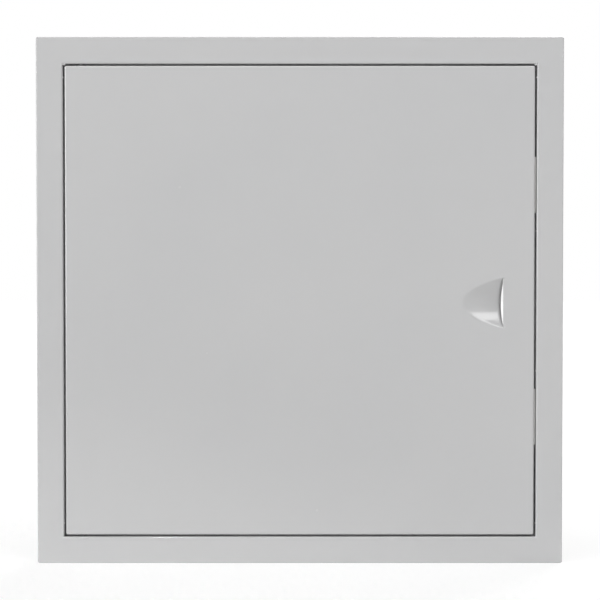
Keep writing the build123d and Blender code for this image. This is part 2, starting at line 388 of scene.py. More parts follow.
def new_piece(name, mesh):
    piece = bpy.data.objects.new(name, mesh)
    bpy.context.scene.collection.objects.link(piece)
    return piece


def mesh_of(name, points, edges=(), faces=()):
    mesh = bpy.data.meshes.new(name)
    mesh.from_pydata(points, edges, faces)
    return mesh


def use_material(piece, material):
    """Leaves a piece with one material on all its faces."""
    piece.data.materials.clear()
    piece.data.materials.append(material)
    piece.data.polygons.foreach_set("material_index", [0] * len(piece.data.polygons))


def run_tree(name, mesh, tree, values):
    """Runs a Geometry Nodes tree on a mesh, with its inputs given by name, and keeps the result."""
    piece = new_piece(name, mesh)
    modifier = piece.modifiers.new("shape", "NODES")
    modifier.node_group = tree
    for item in tree.interface.items_tree:
        if item.name in values:
            modifier[item.identifier] = values[item.name]
    settle(piece)
    use_material(piece, values["Material"])
    return piece


# %% Helpers for shading and for closed meshes
FOLD_SHADING = 32.0
BLOCK_SHADING = 40.0
DROP_SHADING = 80.0


def shade(piece, sharp_from=FOLD_SHADING):
    """Smooth shading with sharp edges where the faces turn by more than an angle."""
    piece.data.shade_smooth()
    piece.data.set_sharp_from_angle(angle=math.radians(sharp_from))


def turn_outwards(piece):
    """Merges doubles and points the faces of a closed mesh outwards."""
    work = bmesh.new()
    work.from_mesh(piece.data)
    bmesh.ops.remove_doubles(work, verts=work.verts, dist=0.001 * MM)
    bmesh.ops.recalc_face_normals(work, faces=work.faces)
    open_edges = sum(1 for edge in work.edges if len(edge.link_faces) != 2)
    work.to_mesh(piece.data)
    work.free()
    return open_edges


def report(piece, note=""):
    triangles = sum(len(face.vertices) - 2 for face in piece.data.polygons)
    print(f"{piece.name}: {triangles} triangles {note}")

# %% [markdown]
# ## A section round a square
# Frame and door are the same kind of shape: a folded section that runs round a square with mitred
# corners. A curve with a bevel would pinch the section at the corners. Instead the tree lays a grid,
# takes one axis of it as the section's point and the other as the place along one side, and works out
# where each grid point belongs. Four turned copies then close the square. The corner radius shrinks
# with the distance from the rim, so outer edges are rounded and inner ones are mitred.

# %% Nodes that lay an outline on a grid
def outline_grid(tree, outline, along):
    """A grid's mesh, and for its points the outline's point and the step along the sweep."""
    size = add_node(tree, "GeometryNodeAttributeDomainSize", {"Geometry": outline})
    count = size.outputs["Point Count"]
    last_point = calculate(tree, "SUBTRACT", count, 1.0)
    last_along = calculate(tree, "SUBTRACT", along, 1.0)
    grid = add_node(tree, "GeometryNodeMeshGrid", {"Size X": last_point, "Size Y": last_along,
                                                   "Vertices X": count, "Vertices Y": along})
    place = add_node(tree, "GeometryNodeInputPosition").outputs["Position"]
    axes = add_node(tree, "ShaderNodeSeparateXYZ", {"Vector": place}).outputs
    index = calculate(tree, "ROUND", calculate(tree, "MULTIPLY_ADD", last_point, 0.5, axes["X"]))
    step = calculate(tree, "ROUND", calculate(tree, "MULTIPLY_ADD", last_along, 0.5, axes["Y"]))
    sampled = add_node(tree, "GeometryNodeSampleIndex", {"Geometry": outline, "Index": index},
                       data_type="FLOAT_VECTOR")
    feed(tree, sampled.inputs["Value"], place)
    point = add_node(tree, "ShaderNodeSeparateXYZ", {"Vector": sampled.outputs["Value"]}).outputs
    return grid.outputs["Mesh"], point, step


# %% Tree: section round a square
ARC_STEPS = 5


def make_square_tree():
    tree, given, result = new_tree(
        "section_round_square", "GeometryNodeTree",
        [("Section", "Geometry"), ("Half Size", "Float"), ("Rim", "Float"), ("Corner Radius", "Float"),
         ("Arc Steps", "Int"), ("Centre Height", "Float"), ("Material", "Material")],
        [("Frame", "Geometry")])
    steps = given["Arc Steps"]
    along = calculate(tree, "MULTIPLY_ADD", steps, 2.0, 2.0)
    grid, point, step = outline_grid(tree, given["Section"], along)

    second_half = calculate(tree, "GREATER_THAN", step, calculate(tree, "ADD", steps, 0.5))
    taken = calculate(tree, "MULTIPLY", second_half, calculate(tree, "ADD", steps, 1.0))
    turned = calculate(tree, "DIVIDE", calculate(tree, "SUBTRACT", step, taken), steps)
    eighths = calculate(tree, "ADD", turned, second_half)
    angle = calculate(tree, "MULTIPLY_ADD", eighths, -math.pi / 4, 3 * math.pi / 4)
    side = calculate(tree, "MULTIPLY_ADD", second_half, 2.0, -1.0)

    from_rim = calculate(tree, "SUBTRACT", given["Rim"], point["X"])
    radius = calculate(tree, "MAXIMUM", calculate(tree, "SUBTRACT", given["Corner Radius"], from_rim), 0.0)
    straight = calculate(tree, "SUBTRACT", calculate(tree, "ADD", given["Half Size"], point["X"]), radius)
    across = calculate(tree, "MULTIPLY_ADD", radius, calculate(tree, "COSINE", angle),
                       calculate(tree, "MULTIPLY", side, straight))
    up = calculate(tree, "MULTIPLY_ADD", radius, calculate(tree, "SINE", angle), straight)
    target = add_node(tree, "ShaderNodeCombineXYZ", {"X": across, "Y": point["Y"], "Z": up})
    rail = add_node(tree, "GeometryNodeSetPosition", {"Geometry": grid,
                                                      "Position": target.outputs["Vector"]})

    number = add_node(tree, "GeometryNodeInputIndex").outputs["Index"]
    turns = add_node(tree, "ShaderNodeCombineXYZ", {"Y": calculate(tree, "MULTIPLY", number, math.pi / 2)})
    sides = add_node(tree, "GeometryNodePoints", {"Count": 4}).outputs["Points"]
    copies = add_node(tree, "GeometryNodeInstanceOnPoints", {
        "Points": sides, "Instance": rail.outputs["Geometry"], "Rotation": turns.outputs["Vector"]})
    real = add_node(tree, "GeometryNodeRealizeInstances", {"Geometry": copies.outputs["Instances"]})
    joined = add_node(tree, "GeometryNodeMergeByDistance", {"Geometry": real.outputs["Geometry"],
                                                            "Distance": 0.002 * MM})
    lift = add_node(tree, "ShaderNodeCombineXYZ", {"Z": given["Centre Height"]}).outputs["Vector"]
    lifted = add_node(tree, "GeometryNodeTransform", {"Geometry": joined.outputs["Geometry"],
                                                      "Translation": lift})
    painted = add_node(tree, "GeometryNodeSetMaterial", {"Geometry": lifted.outputs["Geometry"],
                                                         "Material": given["Material"]})
    feed(tree, result["Frame"], painted.outputs["Geometry"])
    return tree


square_tree = make_square_tree()
print("tree", square_tree.name, "nodes:", len(square_tree.nodes))

# %% [markdown]
# ## Sections of folded sheet
# A fold is an arc between two straight runs. The function below walks along the corners of a section,
# puts an arc at each rounded one, and adds a point just before and after it. Those two points keep the
# flat stretches flat when the mesh is shaded smooth.

# %% Rounded sections
FOLD_STEPS = 7
FOLD_SUPPORT = 0.15 * MM


def rounded_section(corners, closed):
    """Points along right-angled corners, each given as ((outwards, depth), radius)."""
    count = len(corners)
    points = []
    for i, (corner, radius) in enumerate(corners):
        corner = Vector(corner)
        at_end = not closed and i in (0, count - 1)
        if radius == 0 or at_end:
            points.append(corner)
            continue
        before = corner - Vector(corners[i - 1][0])
        after = Vector(corners[(i + 1) % count][0]) - corner
        room_before = before.length - radius - corners[i - 1][1]
        room_after = after.length - radius - corners[(i + 1) % count][1]
        before.normalize()
        after.normalize()
        middle = corner - radius * before + radius * after
        if room_before > 4 * FOLD_SUPPORT:
            points.append(corner - (radius + FOLD_SUPPORT) * before)
        for k in range(FOLD_STEPS + 1):
            turn = math.pi / 2 * k / FOLD_STEPS
            points.append(middle - radius * math.cos(turn) * after + radius * math.sin(turn) * before)
        if room_after > 4 * FOLD_SUPPORT:
            points.append(corner + (radius + FOLD_SUPPORT) * after)
    if closed:
        points.append(points[0])
    return [(point.x, point.y, 0.0) for point in points]

# %% [markdown]
# ## The frame
# The frame's sheet is hemmed at the rim, lies on the wall as a flange, turns into the opening as a neck
# and ends in a lip that stops the door. Swept as one closed section, it becomes a single skin without
# mitre lines, as the welded and painted frame looks. Screw holes are cut through its sides afterwards.

# %% Frame skin
hem_edge = FLANGE - HEM_WIDTH
FRAME_SECTION = rounded_section([
    ((FLANGE, FRONT), HEM_ROUND),
    ((FLANGE, FRONT + 2 * SHEET), HEM_ROUND),
    ((hem_edge, FRONT + 2 * SHEET), 0),
    ((hem_edge, SHEET_BACK), 0),
    ((0, SHEET_BACK), BEND_INSIDE),
    ((0, NECK_BACK), BEND),
    ((-STOP_LIP, NECK_BACK), 0),
    ((-STOP_LIP, NECK_BACK - SHEET), 0),
    ((-SHEET, NECK_BACK - SHEET), BEND_INSIDE),
    ((-SHEET, FRONT), BEND),
], closed=True)

frame_skin = run_tree("frame_skin", mesh_of("frame_section", FRAME_SECTION), square_tree, {
    "Half Size": NECK_HALF, "Rim": FLANGE, "Corner Radius": FLANGE_CORNER, "Arc Steps": ARC_STEPS,
    "Centre Height": CENTRE, "Material": frame_paint})
print("open edges in the frame's skin:", turn_outwards(frame_skin))

# %% [markdown]
# ## Cutting holes
# A Boolean modifier takes a cutter away from a piece. The cutters of one piece are gathered in one
# mesh, used once, and deleted.

# %% Cutters
HOLE_SIDES = 40


def add_box(work, low, high):
    size = Vector(high) - Vector(low)
    made = bmesh.ops.create_cube(work, size=1.0)["verts"]
    bmesh.ops.scale(work, vec=size, verts=made)
    bmesh.ops.translate(work, vec=(Vector(low) + Vector(high)) / 2, verts=made)
    return made


def add_rod(work, start, end, radius):
    start = Vector(start)
    axis = Vector(end) - start
    turn = axis.to_track_quat("Z", "Y").to_matrix().to_4x4()
    turn.translation = start + axis / 2
    made = bmesh.ops.create_cone(work, segments=HOLE_SIDES, radius1=radius, radius2=radius,
                                 depth=axis.length, cap_ends=True, matrix=turn)
    return made["verts"]


def cut(piece, work):
    """Takes the shapes in a bmesh away from a piece."""
    mesh = bpy.data.meshes.new("cutter")
    work.to_mesh(mesh)
    work.free()
    cutter = new_piece("cutter", mesh)
    modifier = piece.modifiers.new("cut", "BOOLEAN")
    modifier.operation = "DIFFERENCE"
    modifier.solver = "EXACT"
    modifier.object = cutter
    settle(piece)
    bpy.data.objects.remove(cutter)
    bpy.data.meshes.remove(mesh)


# %% Screw holes through the side necks
screws = [mount for mount in frame["record"]["mounts"] if mount["kind"] == "bolt_pattern"]
work = bmesh.new()
for mount in screws:
    x, y, z = mount["pos_m"]
    inwards = -math.copysign(3 * SHEET, x)
    outwards = math.copysign(SHEET, x)
    for side in (-1, 1):
        height = z + side * mount["dims"]["spacing_y_mm"] * MM / 2
        add_rod(work, (x + inwards, y, height), (x + outwards, y, height), mount["dims"]["hole_r_mm"] * MM)
cut(frame_skin, work)
shade(frame_skin)
report(frame_skin, f"with {2 * len(screws)} screw holes")

# %% [markdown]
# ## The pull
# The scoop is a lanced and pressed piece of the door's own sheet. Its floor is a tilted cylinder: it
# starts at a soft tip, widens, and is deepest at the straight cut. A formula gives the depth at any
# point, so the scoop can be a fine patch of the door's front. The rim's rounding, soft at the tip and
# firmer at the ends of the cut, comes from blending the formula into the flat sheet over a short way.
# The punch rolls the cut edge over and draws its middle back from the cut, so that a narrow crescent
# stays open, through which a fingertip hooks.

# %% The pull's formula
PULL_INSET = 19.7 * MM
PULL_LENGTH = 25.8 * MM
PULL_WIDTH = 31.8 * MM
PULL_DEPTH = 5.4 * MM
PULL_DROP = 1.0 * MM
CUT_HALF = 15.3 * MM
RIM_SOFT_TIP = 0.30 * MM
RIM_SOFT_SIDE = 0.62 * MM
ROLL_RADIUS = 4.0 * MM
ROLL_SPAN = 2.0 * MM
EDGE_DRAWN_IN = 0.80 * MM
EDGE_SPLAY = 1.4 * MM
EDGE_SHIFT = 1.3 * MM
LIP_SPREAD = 1.6 * MM
ROLL_FADE = 1.5 * MM
EDGE_FADE = (0.15, 0.25)
EDGE_POWER = 6

PULL_EDGE = DOOR_HALF - PULL_INSET
PULL_TIP = PULL_EDGE - PULL_LENGTH
PULL_HEIGHT = CENTRE - PULL_DROP
tilt = math.atan2(PULL_DEPTH, PULL_LENGTH)
sagitta = PULL_DEPTH * math.cos(tilt)
FLOOR_RADIUS = ((PULL_WIDTH / 2) ** 2 + sagitta ** 2) / (2 * sagitta)


# %% Depth of the pressed sheet
def smooth(value):
    value = min(max(value, 0.0), 1.0)
    return value * value * (3 - 2 * value)


def scoop_depth(x, up):
    """Depth of the pressed sheet at a place, with up measured from the pull's middle."""
    if abs(up) > 0.995 * FLOOR_RADIUS:
        return 0.0
    chord = math.sqrt(FLOOR_RADIUS ** 2 - up ** 2)
    floor = (x - PULL_TIP) * math.tan(tilt) - (FLOOR_RADIUS - chord) / math.cos(tilt)
    steep = abs(up) / chord
    soft = RIM_SOFT_TIP + (RIM_SOFT_SIDE - RIM_SOFT_TIP) * min(steep, 1.5)
    if floor <= -soft:
        return 0.0
    if floor >= soft:
        return floor
    return (floor + soft) ** 2 / (4 * soft)


def rolled_edge(x, depth):
    """Extra depth where the cut edge is rolled over by the punch."""
    run = min(max(x - (PULL_EDGE - ROLL_SPAN), 0.0), ROLL_SPAN)
    drop = ROLL_RADIUS - math.sqrt(ROLL_RADIUS ** 2 - run ** 2)
    return drop * smooth(depth / ROLL_FADE)


def lip_depth(x, up):
    """Depth of the sheet beyond the cut: flat, but drawn in a little around the ends of the cut."""
    end = scoop_depth(PULL_EDGE, max(abs(up), CUT_HALF))
    inside = max(CUT_HALF - abs(up), 0.0)
    return end * (1 - smooth((x - PULL_EDGE) / LIP_SPREAD)) * (1 - smooth(inside / LIP_SPREAD))


print(f"pull: floor radius {FLOOR_RADIUS / MM:.2f} mm, tilt {math.degrees(tilt):.2f} degrees, "
      f"depth at the cut {scoop_depth(PULL_EDGE, 0) / MM:.2f} mm")

# %% [markdown]
# ## The door's front
# The front is flat but for the pull, so it is one fine patch with four large faces around it. The patch
# is a grid of columns and rows. Its column on the cut is made twice, once for the pressed edge and once
# for the flat lip, and the two meet only at the ends of the cut.

# %% Columns and rows of the patch
PATCH_STEP = 0.3 * MM
EDGE_STEP = 0.2 * MM
PATCH_MARGIN = 3.0 * MM


def steps_between(start, end, step):
    count = max(1, round((end - start) / step))
    return [start + (end - start) * k / count for k in range(count + 1)]


def patch_columns():
    left = steps_between(PULL_TIP - PATCH_MARGIN, PULL_EDGE - ROLL_SPAN, PATCH_STEP)
    rolled = steps_between(PULL_EDGE - ROLL_SPAN, PULL_EDGE, EDGE_STEP)
    right = steps_between(PULL_EDGE, PULL_EDGE + PATCH_MARGIN, PATCH_STEP)
    return left[:-1] + rolled, right


def patch_rows():
    reach = PULL_WIDTH / 2 + PATCH_MARGIN
    below = steps_between(-reach, -CUT_HALF, PATCH_STEP)
    across = steps_between(-CUT_HALF, CUT_HALF, PATCH_STEP)
    above = steps_between(CUT_HALF, reach, PATCH_STEP)
    return below[:-1] + across[:-1] + above


# %% Points on the pressed sheet and on the lip
def pressed_point(x, up):
    depth = scoop_depth(x, up)
    share = scoop_depth(x, up + EDGE_SHIFT) / PULL_DEPTH
    run = max(x - PULL_TIP, 0.0) / PULL_LENGTH
    fade = smooth((share - EDGE_FADE[0]) / EDGE_FADE[1]) * run ** EDGE_POWER
    drawn = (EDGE_DRAWN_IN - EDGE_SPLAY * (1 - share)) * fade
    return (x - drawn, FRONT + depth + rolled_edge(x, depth), PULL_HEIGHT + up)


def lip_point(x, up):
    return (x, FRONT + lip_depth(x, up), PULL_HEIGHT + up)


# %% Front of the door with the pull
SQUARE = ((-1, -1), (1, -1), (1, 1), (-1, 1))


def make_door_front(half):
    """The door's front inside a square of the given half size, as a bmesh."""
    work = bmesh.new()
    pressed, lip = patch_columns()
    rows = patch_rows()
    open_rows = [abs(up) < CUT_HALF - PATCH_STEP / 2 for up in rows]
    left = [[work.verts.new(pressed_point(x, up)) for x in pressed[:-1]] for up in rows]
    edge = [work.verts.new(pressed_point(PULL_EDGE, up) if is_open else lip_point(PULL_EDGE, up))
            for up, is_open in zip(rows, open_rows)]
    lip_edge = [work.verts.new(lip_point(PULL_EDGE, up)) if is_open else edge[j]
                for j, (up, is_open) in enumerate(zip(rows, open_rows))]
    right = [[work.verts.new(lip_point(x, up)) for x in lip[1:]] for up in rows]
    for j in range(len(rows) - 1):
        for row, above in ((left[j] + [edge[j]], left[j + 1] + [edge[j + 1]]),
                           ([lip_edge[j]] + right[j], [lip_edge[j + 1]] + right[j + 1])):
            for i in range(len(row) - 1):
                work.faces.new((row[i], row[i + 1], above[i + 1], above[i]))
    corners = [work.verts.new((x * half, FRONT, CENTRE + z * half)) for x, z in SQUARE]
    bottom = left[0] + [edge[0]] + right[0]
    top = left[-1] + [edge[-1]] + right[-1]
    start = [row[0] for row in left]
    end = [row[-1] for row in right]
    work.faces.new([corners[0], corners[1]] + bottom[::-1])
    work.faces.new([corners[1], corners[2]] + end[::-1])
    work.faces.new([corners[2], corners[3]] + top)
    work.faces.new([corners[3], corners[0]] + start)
    return work

# %% [markdown]
# ## The door's pan
# The rest of the pan is another section round a square: the fold at the front edge, the return, the
# fold at the back and the lip. Front and pan are joined along the last row of the fold, and a Solidify
# modifier gives the sheet its thickness towards the inside. Then the returns get what the tool shop cut
# into them: relief slots, notches for the catches, and holes for the hinge bushes.

# %% Door skin
DOOR_LIP = 8.0 * MM
front_half = DOOR_HALF - BEND - FOLD_SUPPORT
PAN_SECTION = rounded_section([
    ((front_half - DOOR_HALF, FRONT), 0),
    ((0, FRONT), BEND),
    ((0, DOOR_BACK), BEND),
    ((-DOOR_LIP, DOOR_BACK), 0),
], closed=False)
pan = run_tree("door_skin", mesh_of("pan_section", PAN_SECTION), square_tree, {
    "Half Size": DOOR_HALF, "Rim": 0.0, "Corner Radius": BEND, "Arc Steps": ARC_STEPS,
    "Centre Height": CENTRE, "Material": door_paint})

work = make_door_front(front_half)
work.from_mesh(pan.data)
bmesh.ops.remove_doubles(work, verts=work.verts, dist=0.003 * MM)
bmesh.ops.recalc_face_normals(work, faces=work.faces)
largest = max(work.faces, key=lambda face: face.calc_area())
if largest.normal.y > 0:
    bmesh.ops.reverse_faces(work, faces=work.faces)
work.to_mesh(pan.data)
work.free()

thickness = pan.modifiers.new("sheet", "SOLIDIFY")
thickness.thickness = SHEET
thickness.offset = -1.0
thickness.use_even_offset = True
settle(pan)
print("open edges in the door's skin:", turn_outwards(pan))
report(pan, "before the cuts")

# %% Slots, notches and holes in the returns
RELIEF_WIDTH = 0.8 * MM
RELIEF_FROM_END = 7.2 * MM
RELIEF_SPACING = 88.4 * MM
NOTCH_ROOM = 1.0 * MM
BUSH_HOLE = 2.35 * MM
CUT_CLEAR = 0.05 * MM


def slot_across(work, side, height):
    """A relief slot through one side return, between its two folds."""
    inner = side * (DOOR_HALF - 2 * SHEET)
    outer = side * (DOOR_HALF + SHEET)
    add_box(work, (min(inner, outer), FRONT + BEND + CUT_CLEAR, height - RELIEF_WIDTH / 2),
            (max(inner, outer), DOOR_BACK - BEND - CUT_CLEAR, height + RELIEF_WIDTH / 2))


work = bmesh.new()
corner_slot = DOOR_HALF - RELIEF_FROM_END
slots = [(side, CENTRE + end * corner_slot) for side in (-1, 1) for end in (-1, 1)]
slots += [(1, CENTRE + end * RELIEF_SPACING / 2) for end in (-1, 1)]
for side, height in slots:
    slot_across(work, side, height)
for name in ("upper_magnet_housing", "lower_magnet_housing"):
    low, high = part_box(name)
    add_box(work, (low.x - NOTCH_ROOM, FRONT + BEND + CUT_CLEAR, low.z - NOTCH_ROOM),
            (DOOR_HALF + SHEET, DOOR_BACK + SHEET, high.z + NOTCH_ROOM))
hinge = frame["joints"][0]["pos_m"]
for end in (-1, 1):
    add_rod(work, (hinge[0], hinge[1], CENTRE + end * (DOOR_HALF - 3 * SHEET)),
            (hinge[0], hinge[1], CENTRE + end * (DOOR_HALF + SHEET)), BUSH_HOLE)
cut(pan, work)
shade(pan)
report(pan, "with slots, notches and bush holes")

# %% [markdown]
# ## Weld beads and nibs
# The corners of the frame are closed by short weld runs, outside the neck and on the stop lip, and
# painted over with the rest. A weld is a row of small overlapping drops, so one drop is instanced along
# each run, with a little seeded unevenness. The same tree makes the small nibs on the neck, opposite
# the door's slots, which keep the closed door centred, and a few drops that close the two upper corners
# of the gap. From the front they break the dark gap as tiny light spots.

# %% Tree: drops along a run
SMALLEST_DROP = (0.85, 0.85, 0.70)
LARGEST_DROP = (1.10, 1.10, 0.95)


def end_with_material(tree, instances, material):
    """Realize Instances and Set Material, with which every tree of instances ends."""
    real = add_node(tree, "GeometryNodeRealizeInstances", {"Geometry": instances})
    dressed = add_node(tree, "GeometryNodeSetMaterial", {"Geometry": real.outputs["Geometry"],
                                                         "Material": material})
    return dressed.outputs["Geometry"]


def make_weld_tree():
    tree, given, result = new_tree(
        "weld_runs", "GeometryNodeTree",
        [("Runs", "Geometry"), ("Drop Radius", "Float"), ("Pitch", "Float"), ("Seed", "Int"),
         ("Material", "Material")],
        [("Beads", "Geometry")])
    path = add_node(tree, "GeometryNodeMeshToCurve", {"Mesh": given["Runs"]})
    drops = add_node(tree, "GeometryNodeCurveToPoints", {
        "Curve": path.outputs["Curve"], "Length": given["Pitch"]}, mode="LENGTH")
    drop = add_node(tree, "GeometryNodeMeshUVSphere", {
        "Segments": 10, "Rings": 6, "Radius": given["Drop Radius"]})
    size = add_node(tree, "FunctionNodeRandomValue", {"Seed": given["Seed"]}, data_type="FLOAT_VECTOR")
    size.inputs[0].default_value = SMALLEST_DROP
    size.inputs[1].default_value = LARGEST_DROP
    beads = add_node(tree, "GeometryNodeInstanceOnPoints", {
        "Points": drops.outputs["Points"], "Instance": drop.outputs["Mesh"],
        "Rotation": drops.outputs["Rotation"], "Scale": size.outputs[0]})
    feed(tree, result["Beads"], end_with_material(tree, beads.outputs["Instances"], given["Material"]))
    return tree


weld_tree = make_weld_tree()
print("tree", weld_tree.name, "nodes:", len(weld_tree.nodes))

# %% Weld beads in the frame's corners
WELD_START = 1.5 * MM
WELD_DROP = 0.75 * MM
WELD_PITCH = 0.7 * MM
WELD_SUNK = 1.2 * SHEET
neck_inside = NECK_HALF - SHEET
lip_inside = NECK_BACK - WELD_SUNK


def runs_mesh(name, points):
    """Points taken in pairs, each pair an edge along which drops are set."""
    return mesh_of(name, points, [(k, k + 1) for k in range(0, len(points), 2)])


run_points = []
for x in (-1, 1):
    for z in (-1, 1):
        for reach, depth in ((NECK_HALF, WELD_START), (NECK_HALF, NECK_BACK - BEND),
                             (neck_inside, lip_inside), (NECK_HALF - STOP_LIP + SHEET, lip_inside)):
            run_points.append((x * reach, depth, CENTRE + z * reach))
weld_beads = run_tree("corner_weld_beads", runs_mesh("weld_runs", run_points), weld_tree, {
    "Drop Radius": WELD_DROP, "Pitch": WELD_PITCH, "Seed": 4, "Material": frame_paint})
shade(weld_beads, DROP_SHADING)
report(weld_beads, f"on {len(run_points) // 2} runs")

# %% Nibs on the neck
NIB_RADIUS = 0.65 * MM
NIB_SUNK = 0.2 * MM
NIB_PITCH = 0.4 * MM
DROP_RUN = (0.3 * MM, 1.3 * MM)
DROP_DEPTH = 0.75 * MM
DROP_BELOW = 0.35 * MM
drop_height = CENTRE + neck_inside - DROP_BELOW
nib_points = []
for side, height in slots:
    for depth in (FRONT + BEND, FRONT + 2 * BEND):
        nib_points.append((side * (neck_inside + NIB_SUNK), depth, height))
for side in (-1, 1):
    for inwards in DROP_RUN:
        nib_points.append((side * (neck_inside - inwards), FRONT + DROP_DEPTH, drop_height))
neck_nibs = run_tree("neck_nibs", runs_mesh("nib_runs", nib_points), weld_tree, {
    "Drop Radius": NIB_RADIUS, "Pitch": NIB_PITCH, "Seed": 7, "Material": frame_paint})
shade(neck_nibs, DROP_SHADING)
report(neck_nibs, f"on {len(nib_points) // 2} places")

# %% [markdown]
# ## Turned hardware
# Hinge pins, bushes and rivets are all turned or headed parts: a short outline spun about an axis. One
# tree spins the outline, and two others place the result: a pair on the hinge line, and rows for the
# rivets.

# %% Tree: an outline spun about the Z axis
def make_turned_tree():
    tree, given, result = new_tree(
        "turned_outline", "GeometryNodeTree",
        [("Outline", "Geometry"), ("Steps", "Int")], [("Mesh", "Geometry")])
    grid, point, step = outline_grid(tree, given["Outline"], calculate(tree, "ADD", given["Steps"], 1.0))
    part = calculate(tree, "DIVIDE", step, given["Steps"])
    angle = calculate(tree, "MULTIPLY_ADD", part, 2 * math.pi, -math.pi)
    target = add_node(tree, "ShaderNodeCombineXYZ", {
        "X": calculate(tree, "MULTIPLY", point["X"], calculate(tree, "COSINE", angle)),
        "Y": calculate(tree, "MULTIPLY", point["X"], calculate(tree, "SINE", angle)),
        "Z": point["Y"]})
    spun = add_node(tree, "GeometryNodeSetPosition", {"Geometry": grid,
                                                      "Position": target.outputs["Vector"]})
    closed = add_node(tree, "GeometryNodeMergeByDistance", {"Geometry": spun.outputs["Geometry"],
                                                            "Distance": 0.001 * MM})
    feed(tree, result["Mesh"], closed.outputs["Geometry"])
    return tree


turned_tree = make_turned_tree()
print("tree", turned_tree.name, "nodes:", len(turned_tree.nodes))

# %% Tree: a turned pair on the hinge line
def turned_node(tree, given):
    node = add_node(tree, "GeometryNodeGroup", node_tree=turned_tree)
    feed(tree, node.inputs["Outline"], given["Outline"])
    feed(tree, node.inputs["Steps"], given["Steps"])
    return node.outputs["Mesh"]


def make_pair_tree():
    tree, given, result = new_tree(
        "turned_pair", "GeometryNodeTree",
        [("Outline", "Geometry"), ("Steps", "Int"), ("Pivot", "Vector"), ("Material", "Material")],
        [("Pair", "Geometry")])
    points = add_node(tree, "GeometryNodePoints", {"Count": 2, "Position": given["Pivot"]})
    over = calculate(tree, "MULTIPLY", add_node(tree, "GeometryNodeInputIndex").outputs["Index"], math.pi)
    turns = add_node(tree, "ShaderNodeCombineXYZ", {"X": over}).outputs["Vector"]
    pair = add_node(tree, "GeometryNodeInstanceOnPoints", {
        "Points": points.outputs["Points"], "Instance": turned_node(tree, given), "Rotation": turns})
    feed(tree, result["Pair"], end_with_material(tree, pair.outputs["Instances"], given["Material"]))
    return tree


pair_tree = make_pair_tree()
print("tree", pair_tree.name)

# %% Hinge pins
TURNED_STEPS = 40
DOME_STEPS = 6
pivot = (hinge[0], hinge[1], CENTRE)


def dome(radius, start, height, inner=0.0):
    """Outline of a domed head, from its rim inwards."""
    points = []
    for k in range(DOME_STEPS + 1):
        reach = radius + (inner - radius) * k / DOME_STEPS
        points.append((reach, start + height * (1 - (reach / radius) ** 2)))
    return points


def outline_mesh(name, outline):
    return mesh_of(name, [(radius, place, 0.0) for radius, place in outline])


PIN_RADIUS = 1.5 * MM
PIN_CHAMFER = 0.3 * MM
PIN_DOME = 0.55 * MM
pin_low, pin_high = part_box("upper_hinge_pin")
pin_inner = pin_low.z - CENTRE
pin_top = pin_high.z - CENTRE
PIN_HEAD = (pin_high.x - pin_low.x) / 2
pin_outline = [(0, pin_inner), (PIN_RADIUS - PIN_CHAMFER, pin_inner), (PIN_RADIUS, pin_inner + PIN_CHAMFER),
               (PIN_RADIUS, NECK_HALF), (PIN_HEAD, NECK_HALF)]
pin_outline += dome(PIN_HEAD, pin_top - PIN_DOME, PIN_DOME)
hinge_pins = run_tree("hinge_pins", outline_mesh("pin_outline", pin_outline), pair_tree,
                      {"Steps": TURNED_STEPS, "Pivot": pivot, "Material": zinc})
print("open edges in the pins:", turn_outwards(hinge_pins))
shade(hinge_pins)
report(hinge_pins)

# %% Hinge bushes
BUSH_RADIUS = 2.3 * MM
BUSH_BORE = 1.55 * MM
BUSH_CHAMFER = 0.15 * MM
bush_low, bush_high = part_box("upper_hinge_bush")
bush_inner = bush_low.z - CENTRE
bush_top = bush_high.z - CENTRE
COLLAR = (bush_high.x - bush_low.x) / 2
bush_outline = [(BUSH_BORE, bush_inner), (BUSH_RADIUS - BUSH_CHAMFER, bush_inner),
                (BUSH_RADIUS, bush_inner + BUSH_CHAMFER), (BUSH_RADIUS, DOOR_HALF), (COLLAR, DOOR_HALF),
                (COLLAR, bush_top - BUSH_CHAMFER), (COLLAR - BUSH_CHAMFER, bush_top), (BUSH_BORE, bush_top),
                (BUSH_BORE, bush_inner)]
hinge_bushes = run_tree("hinge_bushes", outline_mesh("bush_outline", bush_outline), pair_tree,
                        {"Steps": TURNED_STEPS, "Pivot": pivot, "Material": acetal})
print("open edges in the bushes:", turn_outwards(hinge_bushes))
shade(hinge_bushes)
report(hinge_bushes)

# %% [markdown]
# ## Catches
# Each magnetic catch is a moulded housing with a ferrite block between two steel pole plates, held to
# the neck by two blind rivets. The rivets are a spun outline again, placed in rows, with the small pit
# that the rivet's mandrel leaves in the head.

# %% Tree: rivets in rows
def make_rivet_tree():
    tree, given, result = new_tree(
        "rivet_rows", "GeometryNodeTree",
        [("Outline", "Geometry"), ("Steps", "Int"), ("Start", "Vector"), ("Rivet Spacing", "Float"),
         ("Catch Spacing", "Float"), ("Material", "Material")],
        [("Rivets", "Geometry")])
    lying = add_node(tree, "GeometryNodeTransform", {"Geometry": turned_node(tree, given),
                                                     "Rotation": (0, math.pi / 2, 0)})
    made = lying.outputs["Geometry"]
    for start, spacing in ((given["Start"], given["Rivet Spacing"]), ((0, 0, 0), given["Catch Spacing"])):
        offset = add_node(tree, "ShaderNodeCombineXYZ", {"Z": spacing}).outputs["Vector"]
        row = add_node(tree, "GeometryNodeMeshLine", {
            "Count": 2, "Start Location": start, "Offset": offset})
        copies = add_node(tree, "GeometryNodeInstanceOnPoints", {
            "Points": row.outputs["Mesh"], "Instance": made})
        made = copies.outputs["Instances"]
    feed(tree, result["Rivets"], end_with_material(tree, made, given["Material"]))
    return tree


rivet_tree = make_rivet_tree()
print("tree", rivet_tree.name)

# %% Blind rivets
def middle_of(node):
    low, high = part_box(node)
    return (low + high) / 2


